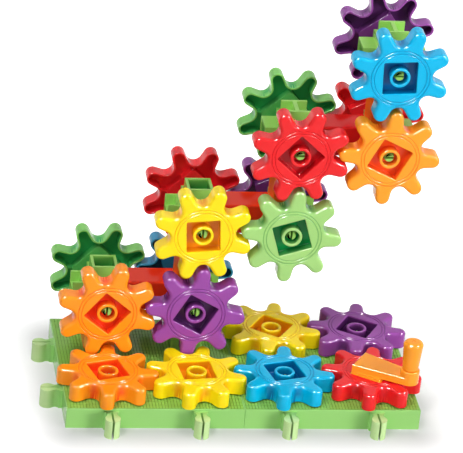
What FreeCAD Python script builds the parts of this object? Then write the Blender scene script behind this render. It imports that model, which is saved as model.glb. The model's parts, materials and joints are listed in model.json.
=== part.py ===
"""Hand-cranked gear building toy: two snap-together base plates, gears, six-way axles and pillars.

Frame: millimetres, +X to the right along the front edge, +Y to the back, +Z up. The origin is on
the underside of the base, in the middle of the seam between the two plates.
"""
import FreeCAD
import Part

import math
import os

V = FreeCAD.Vector

# ---- the grid that every piece keeps to ----
PITCH = 57.15            # distance between neighbouring gear centres
PLACES = 2               # gear places along each side of a base plate

# ---- base plate ----
PLATE_THICK = 14.0
PLATE_SKIN = 2.4         # top skin
PLATE_WALL = 2.4         # outer walls
PLATE_RIB = 1.6          # the rib under the skin
PLATE_BAYS = 2           # open bays side by side, underneath
PLATE_EDGE = 0.5         # rounding of the top and upright edges

# ---- snap tabs and their sockets ----
TAB_DROP = 1.2           # top of the tab below the top of the plate
TAB_BASE = 9.4           # width where the tab leaves the plate
TAB_NECK = 6.2           # width of the neck
TAB_HEAD = 9.8           # diameter of the round head
TAB_HOLLOW = 2.4         # radius of the hollow that makes the neck
TAB_REACH = 14.0         # from the plate to the tip
TAB_SLIT = 1.3
TAB_SLIT_ROOT = 2.0      # where the slit ends, from the plate
SOCKET_GAP = 0.25        # clearance all round a tab in its socket
SOCKET_WALL = 1.8
SOCKET_ROOF = 0.95

# ---- gear ----
TEETH = 8
ADDENDUM = 4.0           # tooth tip beyond half the pitch
DEDENDUM = 7.4           # tooth valley inside half the pitch
TIP_ROUND = 4.5          # radius of a tooth's end
VALLEY_ROUND = 5.1       # radius of the valley between teeth
GEAR_THICK = 11.2
GEAR_FACE = 2.2          # thickness of the front face
GEAR_WALL = 1.3          # wall that follows the teeth
GEAR_EDGE = 2.0          # rounding of the front edge
POCKET = 21.7            # width of the square pocket
POCKET_DEPTH = 7.0
POCKET_CORNER = 0.8
POCKET_LIP = 0.4         # rounding of the pocket's rim
POCKET_WALL = 1.6
WEB = 1.3                # webs from the pocket's corners to the valleys
BOSS = 13.2              # diameter of the boss in the pocket
BOSS_SINK = 0.5          # top of the boss below the face
BOSS_EDGE = 0.6
MOUTH_GAP = 1.4          # all round a pin's barbed end, in the wide mouth of the bore
MOUTH_DEPTH = 5.8
RING_INSETS = (4.4, 2.4)  # two fine ring lines around the pocket, inside the valleys
RING_LINE = 0.3          # depth of a ring line

# ---- split pins that the gears turn on ----
PIN = 6.0
PIN_PLAY = 0.08          # radial clearance of a gear on its pin
PIN_BARB = 0.6           # how far a barbed end stands out all round, to hold the piece
PIN_TAPER = 0.3          # how far the very end of a gear's pin is drawn in
PIN_SLIT = 1.3
PIN_SLIT_LENGTH = 8.0
PLATE_PIN_HEAD = 1.4     # length of the barbed end on a plate
AXLE_PIN_HEAD = 3.0      # length of the barbed end on an axle
POST_ROOT = 3.0          # length of a post's collar below the plate's top skin
COLLAR = 12.4            # shoulder that the gear turns against
END_PLAY = 0.3           # axial play of a gear at each side
GEAR_LIFT = 1.3          # underside of a flat gear above the plate

# ---- six-way axle and the pillars between axles ----
HUB_EDGE = 0.8
STUB = 16.7              # width of a square stub
STUB_LENGTH = 9.75       # how far a stub stands out of the hub
STUB_EDGE = 0.4
STUB_WALL = 1.8          # walls around the pocket, or flanges beside the recesses
STUB_POCKET = 8.0        # depth of the pocket in an upper or lower stub
STUB_WEB = 2.6           # web between the two recesses of a side stub
STUB_RECESS = 6.0        # depth of a recess from the stub's end
STUB_GAP = 0.2           # clearance of a stub in a pillar
PILLAR_WALL = 1.7
PILLAR_EDGE = 1.4
PILLAR_CROSS_WALL = 1.6

# ---- crank ----
PLUG_GAP = 0.25          # clearance of the crank's plug in the pocket
PLUG_LENGTH = 6.7
PLUG_BORE_GAP = 0.4      # clearance around the gear's boss
ARM_WIDTH = 20.0         # at the square end over the gear's centre
ARM_THICK = 6.2
ARM_LIFT = 1.2           # free end of the arm above the gear
ARM_EDGE = 1.2
CRANK_THROW = 26.0       # from the gear's centre to the handle's axis
CRANK_BOSS = 12.4
CRANK_BOSS_HEIGHT = 10.6  # top of the boss above the gear
CRANK_BOSS_EDGE = 0.8
POST = 6.0               # diameter of the post that the handle turns on
POST_HEAD_LENGTH = 2.6   # length of its barbed end

# ---- crank handle ----
HANDLE_PLAY = 0.08       # radial clearance on the post
HANDLE_GAP = 0.3         # at the ends, between the crank and the handle
HANDLE_FOOT = 10.2       # diameter at the bottom
HANDLE_TOP = 13.4        # diameter near the top
HANDLE_HEIGHT = 20.0
HANDLE_EDGE = 2.6        # rounding of the top
HANDLE_FOOT_EDGE = 0.5
HANDLE_LID = 3.0         # closed top above the post
DIMPLE = 2.2             # diameter of the small dimple in the handle's top
DIMPLE_DEPTH = 0.5

# ---- derived places ----
PLATE_SIDE = PLACES * PITCH
TIP_RADIUS = PITCH / 2 + ADDENDUM
VALLEY_RADIUS = PITCH / 2 - DEDENDUM
HALF_GEAR = GEAR_THICK / 2
TOOTH = 360.0 / TEETH
PIN_HEAD = PIN + 2 * PIN_BARB
PIN_BORE = PIN + 2 * PIN_PLAY
BOSS_MOUTH = PIN_HEAD + 2 * MOUTH_GAP
POST_HEAD = POST + 2 * PIN_BARB
PILLAR_BORE = STUB + 2 * STUB_GAP
HUB = PILLAR_BORE + 2 * PILLAR_WALL                 # the hub is as wide as a pillar
STUB_REACH = HUB / 2 + STUB_LENGTH
STEP_HEIGHT = HALF_GEAR - BOSS_SINK - MOUTH_DEPTH   # bottom of the mouth, from the mid-plane
FLAT_Z = PLATE_THICK + GEAR_LIFT + HALF_GEAR        # mid-plane of the flat gears
FIRST_AXLE_Z = FLAT_Z + TIP_RADIUS                  # upright teeth reach the flat gears' mid-plane
TAB_HEIGHT = PLATE_THICK - TAB_DROP
OVER = 1.0               # how far a cutting shape runs past the face that it cuts
NEAR = 1e-6

# ---- which gear is where ----
# A turn of zero has a tooth along +X, and every second gear is half a tooth on. Turns are in
# degrees, anticlockwise as the gear's face is looked at.
HALF_TOOTH = TOOTH / 2
FLAT_GEARS = (   # name, place along X, row, turn
    ("flat_gear_orange", 0, 0, TOOTH - 6.2),
    ("flat_gear_yellow", 1, 0, HALF_TOOTH + 6.2),
    ("flat_gear_blue", 2, 0, TOOTH - 8.2),
    ("flat_gear_red", 3, 0, HALF_TOOTH - TOOTH + 10.4),
    ("flat_gear_yellow_back", 2, 1, HALF_TOOTH - TOOTH + 9.6),
    ("flat_gear_purple_back", 3, 1, -9.8),
)
DRIVEN_GEAR = FLAT_GEARS[3]
TOWER = (   # place along X, level, quarter turns of the axle, front colour and turn, back ones
    (0, 0, 0, "orange", HALF_TOOTH - TOOTH + 6.2, "green", -HALF_TOOTH - 1.5),
    (1, 0, 0, "purple", -6.2, "blue", 1.0),
    (1, 1, 0, "yellow", HALF_TOOTH + 4.8, "red", -HALF_TOOTH + 0.5),
    (2, 1, 0, "green", TOOTH - 4.6, "purple", -2.0),
    (2, 2, 1, "red", HALF_TOOTH - TOOTH + 3.6, "green", -HALF_TOOTH + 4.0),
    (3, 2, 1, "amber", -3.2, "red", -6.0),
    (3, 3, 1, "blue", HALF_TOOTH + 3.0, "purple", -HALF_TOOTH + 8.0),
)


def place_x(place):
    """X of a gear place, counted from the left."""
    return (place + 0.5) * PITCH - PLATE_SIDE


def row_y(row):
    """Y of a row of gear places, counted from the front."""
    return (row + 0.5) * PITCH - PLATE_SIDE / 2


def level_z(level):
    """Height of the axles on one level of the tower."""
    return FIRST_AXLE_Z + level * PITCH


TOWER_Y = row_y(1)


# ---- shapes ----

def polar(radius, degrees):
    """A point at a distance and angle from the axis."""
    angle = math.radians(degrees)
    return V(radius * math.cos(angle), radius * math.sin(angle), 0)


def arc(centre, radius, start, end):
    """An arc around centre, from one angle to another in degrees."""
    points = [centre + polar(radius, angle) for angle in (start, (start + end) / 2, end)]
    return Part.Arc(*points).toShape()


def line(start, end):
    """A straight edge."""
    return Part.LineSegment(start, end).toShape()


def prism(edges, low, high):
    """A solid with this outline between two heights."""
    face = Part.Face(Part.Wire(Part.__sortEdges__(edges)))
    face.translate(V(0, 0, low))
    return face.extrude(V(0, 0, high - low))


def box(width_x, width_y, low, high):
    """A box centred on the Z axis, between two heights."""
    return Part.makeBox(width_x, width_y, high - low, V(-width_x / 2, -width_y / 2, low))


def rod(diameter, low, high):
    """A round bar on the Z axis, between two heights."""
    return Part.makeCylinder(diameter / 2, high - low, V(0, 0, low))


def square_bar(width, low, high, corner):
    """A square bar on the Z axis with rounded corners."""
    bar = box(width, width, low, high)
    upright = [edge for edge in bar.Edges if edge.BoundBox.ZLength > (high - low) / 2]
    return bar.makeFillet(corner, upright)


def edges_at(shape, height):
    """The edges of a shape that lie flat at one height."""
    return [edge for edge in shape.Edges
            if edge.BoundBox.ZMin > height - NEAR and edge.BoundBox.ZMax < height + NEAR]


def turned(shape, degrees, axis=V(0, 0, 1)):
    """A copy turned about an axis through the origin."""
    copy = shape.copy()
    copy.rotate(V(0, 0, 0), axis, degrees)
    return copy


def moved(shape, x, y, z):
    """A copy moved to a place."""
    copy = shape.copy()
    copy.translate(V(x, y, z))
    return copy


# ---- gear ----

def tooth_outline(inset):
    """The toothed outline, drawn in by inset: arcs at tips and valleys, joined by straight flanks."""
    tip_centre = TIP_RADIUS - TIP_ROUND
    valley_centre = VALLEY_RADIUS + VALLEY_ROUND
    tip = TIP_ROUND - inset
    valley = VALLEY_ROUND + inset
    across = polar(valley_centre, HALF_TOOTH) - V(tip_centre, 0, 0)
    lean = math.degrees(math.atan2(across.y, across.x))
    flank = lean - math.degrees(math.acos((TIP_ROUND + VALLEY_ROUND) / across.Length))
    edges = []
    for number in range(TEETH):
        turn = number * TOOTH
        middle = polar(tip_centre, turn)
        edges.append(arc(middle, tip, turn - flank, turn + flank))
        for side in (-1, 1):
            gap = polar(valley_centre, turn + side * HALF_TOOTH)
            angle = turn + side * flank
            edges.append(line(middle + polar(tip, angle), gap + polar(valley, angle + 180)))
        last = turn + TOOTH - flank + 180
        edges.append(arc(polar(valley_centre, turn + HALF_TOOTH), valley, turn + flank + 180, last))
    return edges


def make_gear():
    """One gear on the Z axis, face up, mid-plane at zero, with a tooth along +X."""
    face = HALF_GEAR
    back = -HALF_GEAR
    floor = face - POCKET_DEPTH
    inside = face - GEAR_FACE / 2
    pocket_turn = HALF_TOOTH - 45    # the pocket's corners point at tooth valleys
    gear = prism(tooth_outline(0), back, face)
    gear = gear.makeFillet(GEAR_EDGE, edges_at(gear, face))
    gear = gear.cut(prism(tooth_outline(GEAR_WALL), back - OVER, face - GEAR_FACE))

    outer = POCKET + 2 * POCKET_WALL
    cup = square_bar(outer, floor - POCKET_WALL, inside, POCKET_CORNER + POCKET_WALL)
    additions = [turned(cup, pocket_turn)]
    for number in range(4):
        web = Part.makeBox(VALLEY_RADIUS - GEAR_WALL / 2, WEB, inside - floor, V(0, -WEB / 2, floor))
        additions.append(turned(web, HALF_TOOTH + 90 * number))
    gear = gear.multiFuse(additions)
    pocket = square_bar(POCKET, floor, face + OVER, POCKET_CORNER)
    gear = gear.cut(turned(pocket, pocket_turn))
    reach = POCKET / math.sqrt(2)    # no point of the pocket's rim is further out
    rim = [edge for edge in edges_at(gear, face)
           if edge.Vertexes[0].Point.sub(V(0, 0, face)).Length < reach + NEAR]
    gear = gear.makeFillet(POCKET_LIP, rim)

    top = face - BOSS_SINK
    boss = rod(BOSS, back, top).cut(rod(BOSS_MOUTH, STEP_HEIGHT, top + OVER))
    boss = boss.makeFillet(BOSS_EDGE, edges_at(boss, top))
    gear = gear.fuse(boss).cut(rod(PIN_BORE, back - OVER, face + OVER))
    lines = [Part.makeTorus(VALLEY_RADIUS - inset, RING_LINE, V(0, 0, face)) for inset in RING_INSETS]
    return gear.cut(lines).removeSplitter()


def make_pin(underside, step, head):
    """A split pin on the Z axis for a gear that lies from underside up, held above its step."""
    grip = step + END_PLAY
    tip = grip + head
    end = PIN / 2 - PIN_TAPER
    shaft = rod(PIN, underside - END_PLAY - OVER, grip)
    barb = Part.makeCone(PIN_HEAD / 2, end, head, V(0, 0, grip))
    return shaft.fuse(barb).cut(box(PIN_SLIT, 2 * PIN_HEAD, tip - PIN_SLIT_LENGTH, tip + OVER))


# ---- base plate ----

def tab_outline(grow, root):
    """The plan of a snap tab that reaches along +X from root, grown all round by grow."""
    half_base = TAB_BASE / 2 + grow
    head = TAB_HEAD / 2
    head_x = TAB_REACH - head
    side = TAB_NECK / 2 + TAB_HOLLOW
    hollow_x = head_x - math.sqrt((head + TAB_HOLLOW) ** 2 - side ** 2)
    lean = math.degrees(math.atan2(side, hollow_x - head_x))
    corner = 180 + math.degrees(math.asin((side - half_base) / (TAB_HOLLOW - grow)))
    edges = [arc(V(head_x, 0, 0), head + grow, -lean, lean)]
    for sign in (-1, 1):
        hollow = V(hollow_x, sign * side, 0)
        edges.append(arc(hollow, TAB_HOLLOW - grow, sign * (lean + 180), sign * corner))
        edges.append(line(hollow + polar(TAB_HOLLOW - grow, sign * corner), V(root, sign * half_base, 0)))
    edges.append(line(V(root, half_base, 0), V(root, -half_base, 0)))
    return edges


def make_tab():
    """A split snap tab along +X, standing out of the plate's side."""
    tab = prism(tab_outline(0, -PLATE_WALL / 2), 0, TAB_HEIGHT)
    slit = box(TAB_REACH, TAB_SLIT, -OVER, PLATE_THICK)
    return tab.cut(moved(slit, TAB_SLIT_ROOT + TAB_REACH / 2, 0, 0))


def make_post():
    """The collar and split pin at one gear place of a plate."""
    underside = PLATE_THICK + GEAR_LIFT
    collar = rod(COLLAR, PLATE_THICK - PLATE_SKIN - POST_ROOT, underside - END_PLAY)
    return collar.fuse(make_pin(underside, FLAT_Z + STEP_HEIGHT, PLATE_PIN_HEAD))


def make_plate():
    """One base plate on the Z axis: tabs on the left and front, sockets on the right and back."""
    half = PLATE_SIDE / 2
    plate = box(PLATE_SIDE, PLATE_SIDE, 0, PLATE_THICK)
    plate = plate.makeFillet(PLATE_EDGE, [edge for edge in plate.Edges if edge.BoundBox.ZMax > NEAR])
    inner = PLATE_SIDE - 2 * PLATE_WALL
    step = (inner + PLATE_RIB) / PLATE_BAYS
    depth = PLATE_THICK - PLATE_SKIN
    bay = Part.makeBox(step - PLATE_RIB, inner, depth + OVER, V(-inner / 2, -inner / 2, -OVER))
    plate = plate.cut([moved(bay, number * step, 0, 0) for number in range(PLATE_BAYS)])

    lining = SOCKET_GAP + SOCKET_WALL
    wall_width = TAB_HEAD + 2 * lining
    wall_length = TAB_REACH + lining
    wall = Part.makeBox(wall_length, wall_width, PLATE_THICK - PLATE_SKIN / 2, V(0, -wall_width / 2, 0))
    hole = prism(tab_outline(SOCKET_GAP, -OVER), -OVER, PLATE_THICK - SOCKET_ROOF)
    tab = make_tab()
    walls = []
    holes = []
    tabs = []
    places = [(place + 0.5) * PITCH - half for place in range(PLACES)]
    for at in places:
        for turn, x, y in ((180, half, at), (-90, at, half)):
            walls.append(moved(turned(wall, turn), x, y, 0))
            holes.append(moved(turned(hole, turn), x, y, 0))
        for turn, x, y in ((180, -half, at), (-90, at, -half)):
            tabs.append(moved(turned(tab, turn), x, y, 0))
    posts = [moved(make_post(), x, y, 0) for x in places for y in places]
    return plate.multiFuse(walls).cut(holes).multiFuse(tabs + posts).removeSplitter()


# ---- six-way axle ----

def make_stub():
    """A plain square stub along +Z."""
    stub = box(STUB, STUB, 0, STUB_REACH)
    return stub.makeChamfer(STUB_EDGE, edges_at(stub, STUB_REACH))


def make_open_stub():
    """A square stub along +Z with a square pocket in its end."""
    inner = STUB - 2 * STUB_WALL
    return make_stub().cut(box(inner, inner, STUB_REACH - STUB_POCKET, STUB_REACH + OVER))


def make_webbed_stub():
    """A square stub along +Z of H section: flanges to the front and back, a recess at each side."""
    depth = (STUB - STUB_WEB) / 2 + OVER
    recess = box(depth, STUB - 2 * STUB_WALL, STUB_REACH - STUB_RECESS, STUB_REACH + OVER)
    recess.translate(V((STUB_WEB + depth) / 2, 0, 0))
    return make_stub().cut([recess, turned(recess, 180)])


def make_pin_arm():
    """A square arm along +Z that ends in a collar and a split pin for a gear."""
    underside = PITCH / 2 - HALF_GEAR
    collar = rod(COLLAR, 0, underside - END_PLAY)
    return make_stub().multiFuse([collar, make_pin(underside, PITCH / 2 + STEP_HEIGHT, AXLE_PIN_HEAD)])


def make_axle():
    """A six-way axle: a hub, open stubs up and down, webbed stubs to the sides and two pin arms."""
    hub = box(HUB, HUB, -HUB / 2, HUB / 2)
    hub = hub.makeChamfer(HUB_EDGE, hub.Edges)
    arms = [turned(make_open_stub(), angle, V(0, 1, 0)) for angle in (0, 180)]
    arms += [turned(make_webbed_stub(), angle, V(0, 1, 0)) for angle in (90, -90)]
    arms += [turned(make_pin_arm(), angle, V(1, 0, 0)) for angle in (90, -90)]
    return hub.multiFuse(arms).removeSplitter()


# ---- pillars ----

def make_pillar():
    """A square tube along Z that joins two axles, with a wall across its middle."""
    end = PITCH / 2 - HUB / 2
    wall = PILLAR_CROSS_WALL / 2
    tube = square_bar(HUB, -end, end, PILLAR_EDGE)
    bore = box(PILLAR_BORE, PILLAR_BORE, wall, end + OVER)
    return tube.cut([bore, turned(bore, 180, V(1, 0, 0))])


def make_riser():
    """The pillar that stands on a plate's post and carries an axle on the first level."""
    top = FIRST_AXLE_Z - HUB / 2
    floor = FLAT_Z + STEP_HEIGHT
    riser = square_bar(HUB, PLATE_THICK, top, PILLAR_EDGE)
    bore = box(PILLAR_BORE, PILLAR_BORE, floor, top + OVER)
    seat = rod(COLLAR + 2 * STUB_GAP, PLATE_THICK - OVER, PLATE_THICK + GEAR_LIFT)
    pin_bore = rod(PIN_BORE, PLATE_THICK, floor + OVER)
    return riser.cut([bore, seat, pin_bore])


# ---- crank ----

def make_crank_arm():
    """The crank on a gear's axis, with the gear's face at zero and the handle towards +X."""
    plug = square_bar(POCKET - 2 * PLUG_GAP, -PLUG_LENGTH, 0, POCKET_CORNER)
    pad = square_bar(ARM_WIDTH, 0, ARM_LIFT, POCKET_CORNER)
    half = ARM_WIDTH / 2
    radius = CRANK_BOSS / 2
    reach = half + CRANK_THROW       # from the square end to the handle's axis
    lean = math.atan2(half, reach) - math.asin(radius / math.hypot(reach, half))
    shoulder = V(CRANK_THROW + radius * math.sin(lean), radius * math.cos(lean), 0)
    near_side = [V(-half, -half, 0), V(shoulder.x, -shoulder.y, 0)]
    far_side = [V(point.x, -point.y, 0) for point in near_side]
    outline = [line(near_side[0], far_side[0]), line(*near_side), line(*far_side)]
    outline.append(Part.Arc(near_side[1], V(CRANK_THROW + radius, 0, 0), far_side[1]).toShape())
    arm = prism(outline, ARM_LIFT, ARM_THICK)
    arm = arm.makeFillet(ARM_EDGE, edges_at(arm, ARM_THICK))

    handle_foot = CRANK_BOSS_HEIGHT + HANDLE_GAP
    boss = rod(CRANK_BOSS, ARM_LIFT, CRANK_BOSS_HEIGHT)
    boss = boss.makeFillet(CRANK_BOSS_EDGE, edges_at(boss, CRANK_BOSS_HEIGHT))
    tip = handle_foot + HANDLE_HEIGHT - HANDLE_LID - HANDLE_GAP
    post = rod(POST, ARM_LIFT, tip)
    barb = Part.makeCone(POST_HEAD / 2, POST / 2, POST_HEAD_LENGTH, V(0, 0, tip - POST_HEAD_LENGTH))
    knob = boss.multiFuse([post, barb])
    crank = arm.multiFuse([plug, pad, moved(knob, CRANK_THROW, 0, 0)])
    return crank.cut(rod(BOSS + 2 * PLUG_BORE_GAP, -PLUG_LENGTH - OVER, 0)).removeSplitter()


def make_handle():
    """The handle on the post's axis, with the gear's face at zero."""
    foot = CRANK_BOSS_HEIGHT + HANDLE_GAP
    top = foot + HANDLE_HEIGHT
    handle = Part.makeCone(HANDLE_FOOT / 2, HANDLE_TOP / 2, HANDLE_HEIGHT, V(0, 0, foot))
    handle = handle.makeFillet(HANDLE_EDGE, edges_at(handle, top))
    handle = handle.makeFillet(HANDLE_FOOT_EDGE, edges_at(handle, foot))
    lid = top - HANDLE_LID
    chamber = lid - HANDLE_GAP - POST_HEAD_LENGTH - HANDLE_GAP
    bore = rod(POST + 2 * HANDLE_PLAY, foot - OVER, lid)
    room = rod(POST_HEAD + 2 * HANDLE_GAP, chamber, lid)
    dimple = rod(DIMPLE, top - DIMPLE_DEPTH, top + OVER)
    return handle.cut([bore, room, dimple])


# ---- putting it together ----

def export(shape, name):
    """Write one piece to its own file, and say how many solids it has and how large it is."""
    shape.exportStep(os.path.join("parts", name + ".step"))
    cubic_cm = shape.Volume / 1000
    print("%s: %d solid, valid %s, %.2f cm3" % (name, len(shape.Solids), shape.isValid(), cubic_cm))


def main():
    """Build every piece and write it to its own file."""
    os.makedirs("parts", exist_ok=True)
    plate = make_plate()
    for name, side in (("base_plate_left", -1), ("base_plate_right", 1)):
        export(moved(plate, side * PLATE_SIDE / 2, 0, 0), name)

    gear = make_gear()
    for name, place, row, turn in FLAT_GEARS:
        export(moved(turned(gear, turn), place_x(place), row_y(row), FLAT_Z), name)

    axle = make_axle()
    for number, (place, level, quarters, front, front_turn, back, back_turn) in enumerate(TOWER, 1):
        x = place_x(place)
        z = level_z(level)
        export(moved(turned(axle, 90 * quarters, V(0, 1, 0)), x, TOWER_Y, z), "axle_%d" % number)
        facing = turned(turned(gear, front_turn), 90, V(1, 0, 0))
        export(moved(facing, x, TOWER_Y - PITCH / 2, z), "front_gear_%d_%s" % (number, front))
        facing = turned(turned(gear, back_turn), -90, V(1, 0, 0))
        export(moved(facing, x, TOWER_Y + PITCH / 2, z), "back_gear_%d_%s" % (number, back))

    pillar = make_pillar()
    lying = turned(pillar, 90, V(0, 1, 0))
    for number in range(3):
        between = place_x(number) + PITCH / 2
        export(moved(lying, between, TOWER_Y, level_z(number)), "lying_pillar_%d" % (number + 1))
        height = level_z(number) + PITCH / 2
        export(moved(pillar, place_x(number + 1), TOWER_Y, height), "standing_pillar_%d" % (number + 1))
    riser = make_riser()
    for place in range(2):
        export(moved(riser, place_x(place), TOWER_Y, 0), "riser_%d" % (place + 1))

    name, place, row, turn = DRIVEN_GEAR
    aim = turn + HALF_TOOTH - 45    # square to a side of that gear's pocket
    face_z = FLAT_Z + HALF_GEAR
    export(moved(turned(make_crank_arm(), aim), place_x(place), row_y(row), face_z), "crank_arm")
    at = polar(CRANK_THROW, aim)
    export(moved(make_handle(), place_x(place) + at.x, row_y(row) + at.y, face_z), "crank_handle")


main()
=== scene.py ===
"""Looks of the hand-cranked gear building toy: glossy moulded gears, axles, pillars and plates.

Sizes are millimetres in each moulding's own frame until its mesh is placed; the scene is in
metres. Each vertex notes how deep in a hollow it lies, from 0 in the open to 1 at its bottom,
and a plastic takes that share of its painted shade colour there: painted shade for the light
that falls off in hollows.
"""
from __future__ import annotations

import json
import logging
import math
from dataclasses import dataclass
from enum import Enum
from typing import Any, Callable, Iterable, Optional, Union

import bmesh
import bpy
from mathutils import Matrix, Vector

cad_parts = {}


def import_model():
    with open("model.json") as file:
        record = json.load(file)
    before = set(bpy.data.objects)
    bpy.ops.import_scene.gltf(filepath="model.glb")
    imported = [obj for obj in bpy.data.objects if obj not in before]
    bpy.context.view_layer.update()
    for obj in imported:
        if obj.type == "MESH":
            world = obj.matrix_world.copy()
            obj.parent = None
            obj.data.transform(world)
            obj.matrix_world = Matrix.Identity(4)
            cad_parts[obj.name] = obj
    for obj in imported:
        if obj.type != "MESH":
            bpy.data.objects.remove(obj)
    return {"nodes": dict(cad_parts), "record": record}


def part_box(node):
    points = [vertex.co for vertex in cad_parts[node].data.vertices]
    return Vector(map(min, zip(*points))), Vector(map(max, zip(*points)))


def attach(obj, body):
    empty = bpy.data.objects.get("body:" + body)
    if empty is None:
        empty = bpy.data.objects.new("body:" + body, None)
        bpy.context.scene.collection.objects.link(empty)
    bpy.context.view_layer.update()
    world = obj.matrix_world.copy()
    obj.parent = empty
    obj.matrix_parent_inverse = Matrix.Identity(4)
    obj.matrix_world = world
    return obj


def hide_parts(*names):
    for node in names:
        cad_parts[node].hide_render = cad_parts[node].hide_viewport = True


LOG = logging.getLogger("gear_toy")
MM = 0.001
QUARTER = math.pi / 2
PITCH = 57.15                # distance between neighbouring gear centres
OVERHEAD = 1000.0            # higher than any piece
TAB_NECK_END = 3.0           # how far past the plate a snap tab's neck ends, where its painted highlight starts
TAB_HEAD_END = 10.0          # and how far out its head takes the full painted highlight
PAINTED_SHADE = "painted_shade"            # point attribute: how deep in a hollow a surface lies, its share of painted shade
STATION = "station"          # vertex layer: place of a vertex around its loop
SHARP = math.radians(50.0)   # edges that turn by more than this stay crisp
SAME_POINT = 1e-4            # vertices of a loft that are this close are one
EDGE_STEPS = 2               # strips across a small rounding
CORNERS = 4                  # of a square
WHITE = (1.0, 1.0, 1.0, 1.0)
Sockets = dict[str, bpy.types.NodeSocket]
Section = Callable[[int, float], Vector]
Vertices = list[bmesh.types.BMVert]


# -------------------- node trees

@dataclass
class Shading:
    """A node tree that is being built."""

    tree: bpy.types.NodeTree

    def feed(self, socket: bpy.types.NodeSocket, value: Any) -> None:
        """Give an input what it works with.

        Args:
            socket: the input.
            value: a socket, which is linked to it, or else its own value.
        """
        if isinstance(value, bpy.types.NodeSocket):
            self.tree.links.new(value, socket)
        else:
            socket.default_value = value

    def add(self, kind: str, inputs: Optional[dict[Union[str, int], Any]] = None,
            **settings: Any) -> bpy.types.Node:
        """Add a shader node.

        Args:
            kind: the node's type, without the ShaderNode that every type starts with.
            inputs: what each of its inputs is fed.
            settings: the node's own properties.

        Returns:
            The node.
        """
        node = self.tree.nodes.new("ShaderNode" + kind)
        for name, value in settings.items():
            setattr(node, name, value)
        for name, value in (inputs or {}).items():
            self.feed(node.inputs[name], value)
        return node

    def mix(self, share: Any, first: Any, second: Any) -> bpy.types.NodeSocket:
        """Blend two colours.

        Args:
            share: how much of the second colour there is, 0 to 1.
            first: the first colour.
            second: the second colour.

        Returns:
            The blended colour's socket.
        """
        node = self.add("Mix", data_type="RGBA")
        for socket, value in ((node.inputs["Factor"], share), (node.inputs[6], first),
                              (node.inputs[7], second)):
            self.feed(socket, value)
        return node.outputs[2]

    def number(self, operation: str, *values: Any) -> bpy.types.NodeSocket:
        """Work out a number from others.

        Args:
            operation: the Math node's operation.
            values: what it works on, in order.

        Returns:
            The number's socket.
        """
        return self.add("Math", dict(enumerate(values)), operation=operation).outputs[0]

    def vector(self, operation: str, *values: Any) -> bpy.types.Node:
        """Add a node that works out a vector or its length.

        Args:
            operation: the Vector Math node's operation.
            values: what it works on, in order.

        Returns:
            The node.
        """
        return self.add("VectorMath", dict(enumerate(values)), operation=operation)

    def seen_directly(self) -> bpy.types.NodeSocket:
        """A mask that is 1 for camera, glossy and transmission rays, and 0 for light on the toy.

        Returns:
            The mask's socket.
        """
        rays = self.add("LightPath").outputs
        seen = rays["Is Camera Ray"]
        for kind in ("Is Glossy Ray", "Is Transmission Ray"):
            seen = self.number("MAXIMUM", seen, rays[kind])
        return seen


@dataclass(frozen=True)
class SharedGroup:
    """A node group that several materials use: its name and its inputs' and outputs' kinds."""

    name: str
    inputs: tuple[tuple[str, str], ...]
    outputs: tuple[tuple[str, str], ...]

    def wire(self, shading: Shading, given: Sockets) -> Sockets:
        """Fill the group with its nodes.

        Args:
            shading: the group's tree.
            given: the group's inputs, by name.

        Returns:
            What each of its outputs puts out, by name.
        """
        raise NotImplementedError

    def tree(self) -> bpy.types.NodeTree:
        """Build the group once and return it afterwards.

        Returns:
            The group's node tree.
        """
        known = bpy.data.node_groups.get(self.name)
        if known:
            return known
        group = bpy.data.node_groups.new(self.name, "ShaderNodeTree")
        for way, sockets in (("INPUT", self.inputs), ("OUTPUT", self.outputs)):
            for label, kind in sockets:
                group.interface.new_socket(name=label, in_out=way, socket_type="NodeSocket" + kind)
        given = group.nodes.new("NodeGroupInput").outputs
        result = group.nodes.new("NodeGroupOutput").inputs
        shading = Shading(group)
        for label, socket in self.wire(shading, given).items():
            shading.feed(result[label], socket)
        return group


@dataclass(frozen=True)
class ToneAndPaintedShade(SharedGroup):
    """The colour of moulded plastic: painted shade deeper in hollows, with a faint uneven tone."""

    name: str = "tone and painted shade"
    inputs: tuple[tuple[str, str], ...] = (
        ("Place", "Vector"), ("Open colour", "Color"), ("Painted shade colour", "Color"),
        ("Painted shade", "Float"), ("Mottle", "Float"))
    outputs: tuple[tuple[str, str], ...] = (("Colour", "Color"),)
    cloud_scale: float = 38.0
    cloud_detail: float = 3.0
    least_value: float = 0.97

    def wire(self, shading: Shading, given: Sockets) -> Sockets:
        """Mix in the painted shade colour by depth and let the brightness drift.

        Args:
            shading: the group's tree.
            given: the group's inputs.

        Returns:
            The colour.
        """
        # painted shade: the colour goes over to the painted shade colour by how deep in a hollow a
        # place lies
        inside = shading.mix(given["Painted shade"], given["Open colour"], given["Painted shade colour"])
        cloud = shading.add("TexNoise", {"Vector": given["Place"], "Scale": self.cloud_scale,
                                         "Detail": self.cloud_detail})
        value = shading.number("MULTIPLY_ADD", cloud.outputs["Fac"], given["Mottle"],
                               self.least_value)
        tint = shading.add("HueSaturation", {"Color": inside, "Value": value})
        return {"Colour": tint.outputs["Color"]}


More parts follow.
